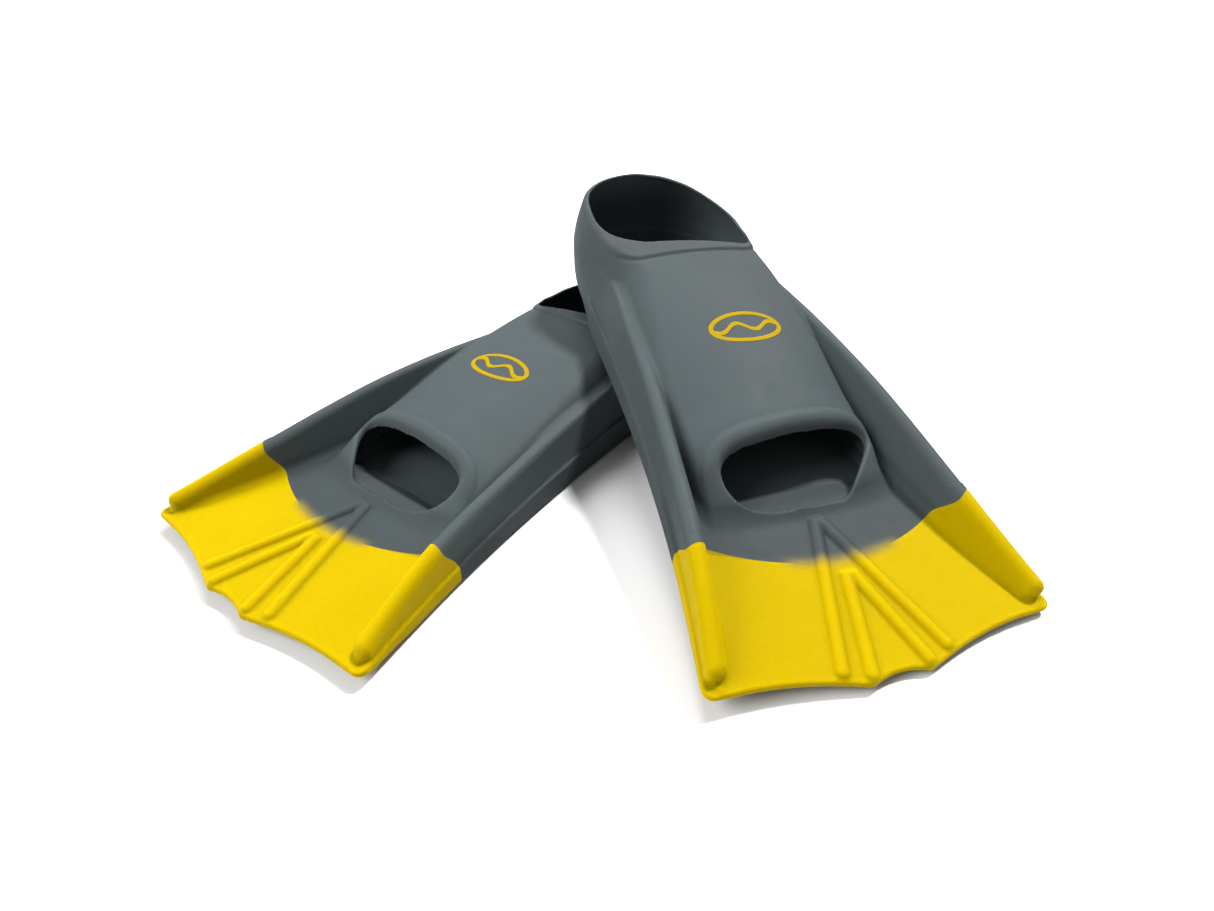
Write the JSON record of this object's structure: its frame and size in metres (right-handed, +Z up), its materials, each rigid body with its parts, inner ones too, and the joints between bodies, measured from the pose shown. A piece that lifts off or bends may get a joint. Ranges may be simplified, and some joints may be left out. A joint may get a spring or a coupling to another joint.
{
  "type": "swim fins",
  "caption": "Pair of short-blade training fins in moulded silicone, with closed heels, toe windows, side rails and ribbed flexible blades.",
  "frame": {"origin": "on the ground, under the middle of the pair as it lies", "axes": "+Z up; the flat fin points its blade along -Y, and the other leans across its heel with its blade towards +X and -Y"},
  "size_m": [0.4136, 0.3982, 0.1467],
  "materials": {
    "grey_silicone": "satin moulded silicone",
    "yellow_silicone": "satin moulded silicone",
    "yellow_print": "matte silicone ink"
  },
  "bodies": {
    "flat_fin_shoe": {"flat_sole": "grey_silicone", "flat_heel_cup": "grey_silicone", "flat_inner_side": "grey_silicone", "flat_outer_side": "grey_silicone", "flat_instep": "grey_silicone", "flat_emblem": "yellow_print"},
    "flat_fin_blade": {"flat_blade_root": "grey_silicone", "flat_blade_tip": "yellow_silicone"},
    "leaning_fin_shoe": {"leaning_sole": "grey_silicone", "leaning_heel_cup": "grey_silicone", "leaning_inner_side": "grey_silicone", "leaning_outer_side": "grey_silicone", "leaning_instep": "grey_silicone", "leaning_emblem": "yellow_print"},
    "leaning_fin_blade": {"leaning_blade_root": "grey_silicone", "leaning_blade_tip": "yellow_silicone"}
  },
  "joints": [
    {"name": "flat_blade_flex", "type": "hinge", "parent": "flat_fin_shoe", "child": "flat_fin_blade", "pos_m": [-0.11326, -0.13315, 0.01233], "axis": [-1, 0, 0], "range_deg": [-25, 25], "stiffness_Nm_per_rad": 3},
    {"name": "leaning_fin_lift", "type": "slide", "parent": "flat_fin_shoe", "child": "leaning_fin_shoe", "axis": [0, 0, 1], "range_m": [0, 0.15]},
    {"name": "leaning_blade_flex", "type": "hinge", "parent": "leaning_fin_shoe", "child": "leaning_fin_blade", "pos_m": [0.11308, -0.00036, 0.02291], "axis": [-0.5527, -0.8327, 0.0346], "range_deg": [-25, 25], "stiffness_Nm_per_rad": 3}
  ]
}
